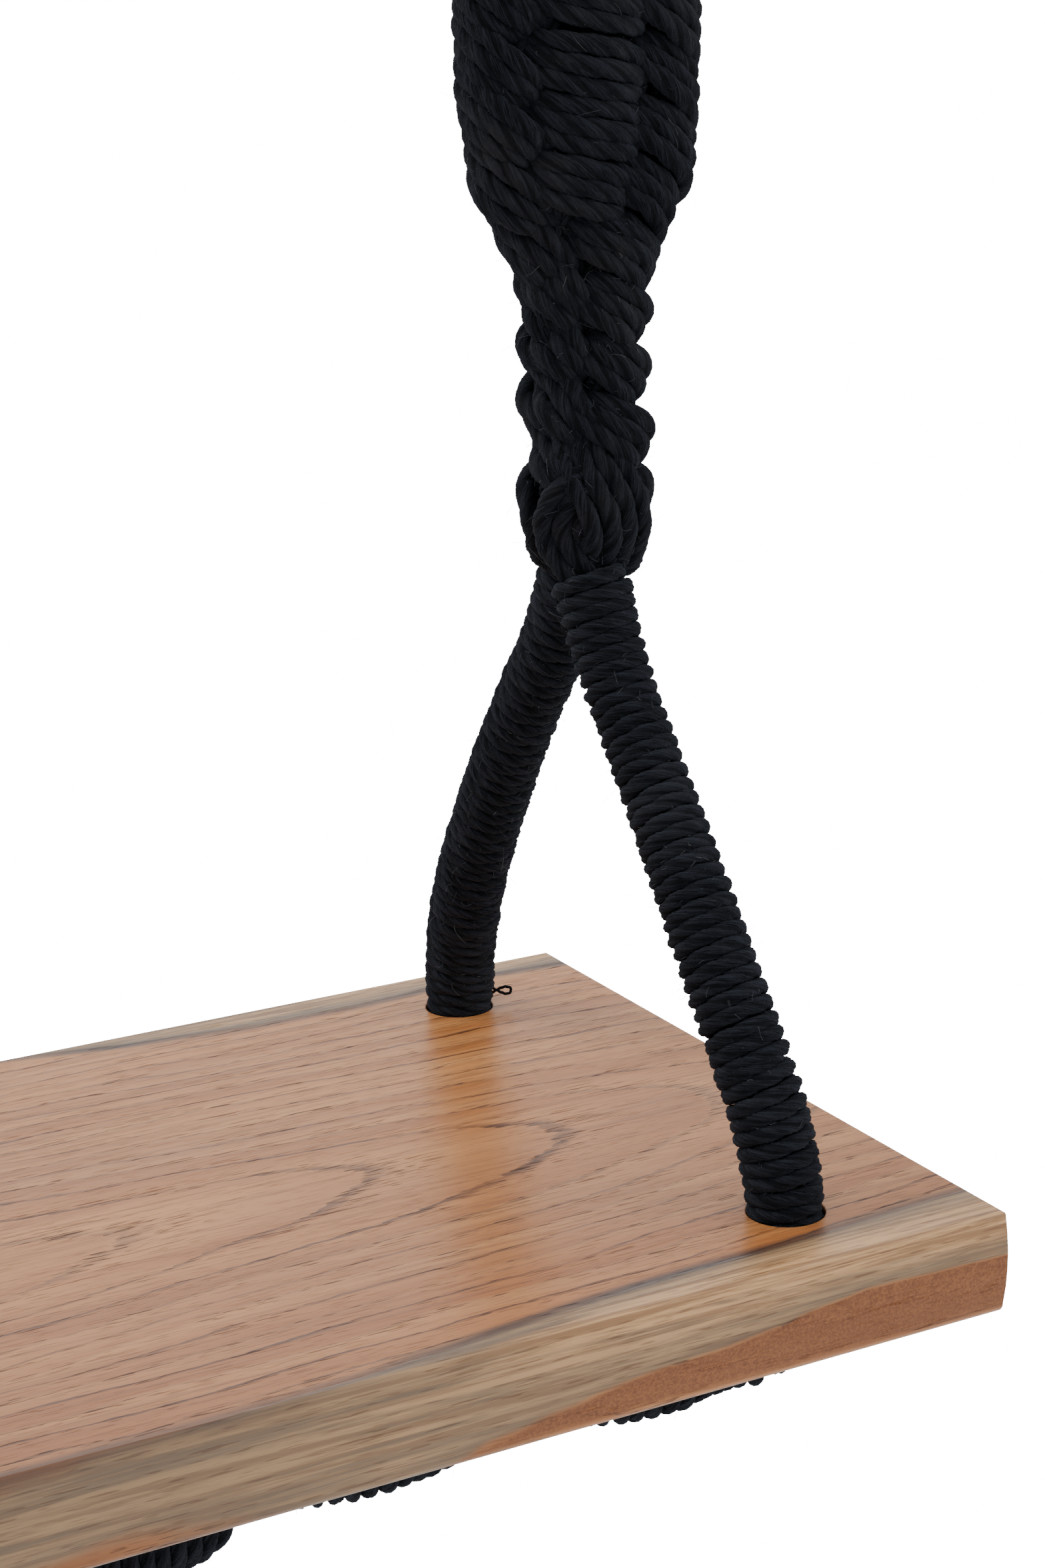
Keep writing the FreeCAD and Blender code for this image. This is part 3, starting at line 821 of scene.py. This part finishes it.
def neckAndLoop(sideName, side):
    s, r = neckSettings, ropeSettings
    strap = sideName + "_strap"
    line = smoothLine(fillerRoute(side))
    shapes = [cordShape(line, r["core"] * mm, s["fillerGap"] * mm, s["fillerLay"] * mm)]
    buildPiece(sideName + "FillerCords", shapes, [], knotCotton, strap, sideName + "_filler_cords")
    dense = evenly(line, 0.5 * mm)[0]
    loop = dense[dense[:, 2] > (s["loopBottom"] - drop) * mm]
    helix = windCord(loop, s["loopRadius"] - r["cord"], r["pitch"])
    shapes = [cordShape(helix, r["cord"] * mm, lay=r["lay"] * mm)]
    buildPiece(sideName + "LoopWhipping", shapes, lintShapes(shapes, s["lint"]), whippingCotton, strap,
               sideName + "_loop_whipping")
    angle = np.linspace(0, 2 * math.pi * s["turns"], s["turns"] * s["perTurn"])
    height = np.linspace(s["bottom"], s["top"], len(angle))
    wrapX = (side * strapX + s["halfWidth"] * np.cos(angle)) * mm
    wrap = np.stack([wrapX, s["halfDepth"] * np.sin(angle) * mm, (height - drop) * mm], axis=1)
    shapes = [cordShape(wrap, s["cord"] * mm, lay=r["lay"] * mm)] + hiddenCords(side, *s["inside"])
    buildPiece(sideName + "NeckWrap", shapes, lintShapes(shapes, s["lint"]), whippingCotton, strap,
               sideName + "_neck_wrap")


for sideName, side in sides.items():
    wideSinnet(sideName, side)
    narrowSinnet(sideName, side)
    junctionKnot(sideName, side)
    neckAndLoop(sideName, side)
print("straps knotted")


def finishNode(node, material):
    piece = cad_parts[node]
    piece.data.materials.clear()
    piece.data.materials.append(material)


finishNode("seat_board", teak)
for sideName in sides:
    finishNode(sideName + "_ring", ringSteel)
    finishNode(sideName + "_hanger_bow", ringSteel)
    finishNode(sideName + "_ceiling_plate", plateSteel)
print("hard parts finished")


studioSettings = {
    "floorZ": -1.15, "floorSize": 500.0, "floorColour": rgb(0.86, 0.86, 0.85), "glow": 16.0,
    "lights": {
        "keyLight": {"place": (-1.6, 1.2, 1.6), "target": (0.1, 0, -0.4), "size": 1.6, "power": 45},
        "fillLight": {"place": (1.8, -1.4, 0.6), "target": (0.2, 0, -0.4), "size": 1.4, "power": 16},
        "sheenPanel": {"place": (1.0, 2.5, 0.6), "target": (0.1, 0, -0.46), "size": 1.6, "power": 3.2},
    },
}


def areaLight(name, s):
    data = bpy.data.lights.new(name, "AREA")
    data.shape = "DISK"
    data.size = s["size"]
    data.energy = s["power"]
    light = bpy.data.objects.new(name, data)
    bpy.context.scene.collection.objects.link(light)
    light.location = s["place"]
    light.rotation_euler = (Vector(s["target"]) - Vector(s["place"])).to_track_quat("-Z", "Y").to_euler()
    light.visible_camera = False


def studio(s):
    material, tree, shader = newMaterial("paleFloor")
    shader.inputs["Base Color"].default_value = s["floorColour"]
    shader.inputs["Roughness"].default_value = 0.9
    shader.inputs["Emission Color"].default_value = rgb(1, 1, 1)
    # the floor glows for the camera only, and a view from underneath looks through it
    seen = addNode(tree, "ShaderNodeLightPath").outputs["Is Camera Ray"]
    tree.links.new(times(tree, seen, s["glow"]), shader.inputs["Emission Strength"])
    clear = addNode(tree, "ShaderNodeBsdfTransparent").outputs["BSDF"]
    below = addNode(tree, "ShaderNodeNewGeometry").outputs["Backfacing"]
    mixed = addNode(tree, "ShaderNodeMixShader", Fac=below, i1=shader.outputs["BSDF"], i2=clear)
    tree.links.new(mixed.outputs["Shader"], tree.nodes["Material Output"].inputs["Surface"])
    bm = bmesh.new()
    place = Matrix.Translation((0, 0, s["floorZ"]))
    bmesh.ops.create_grid(bm, x_segments=1, y_segments=1, size=s["floorSize"], matrix=place)
    mesh = bpy.data.meshes.new("floor")
    bm.to_mesh(mesh)
    bm.free()
    mesh.materials.append(material)
    floor = bpy.data.objects.new("floor", mesh)
    bpy.context.scene.collection.objects.link(floor)
    world = bpy.data.worlds.new("studio")
    world.use_nodes = True
    tree = world.node_tree
    sky = tree.nodes["Background"]
    sky.inputs["Color"].default_value = rgb(1, 1, 1)
    seen = addNode(tree, "ShaderNodeLightPath").outputs["Is Camera Ray"]
    tree.links.new(mathNode(tree, "MULTIPLY_ADD", seen, s["glow"] - 1, 1.0), sky.inputs["Strength"])
    bpy.context.scene.world = world
    for name, light in s["lights"].items():
        areaLight(name, light)


studio(studioSettings)
print("studio set")
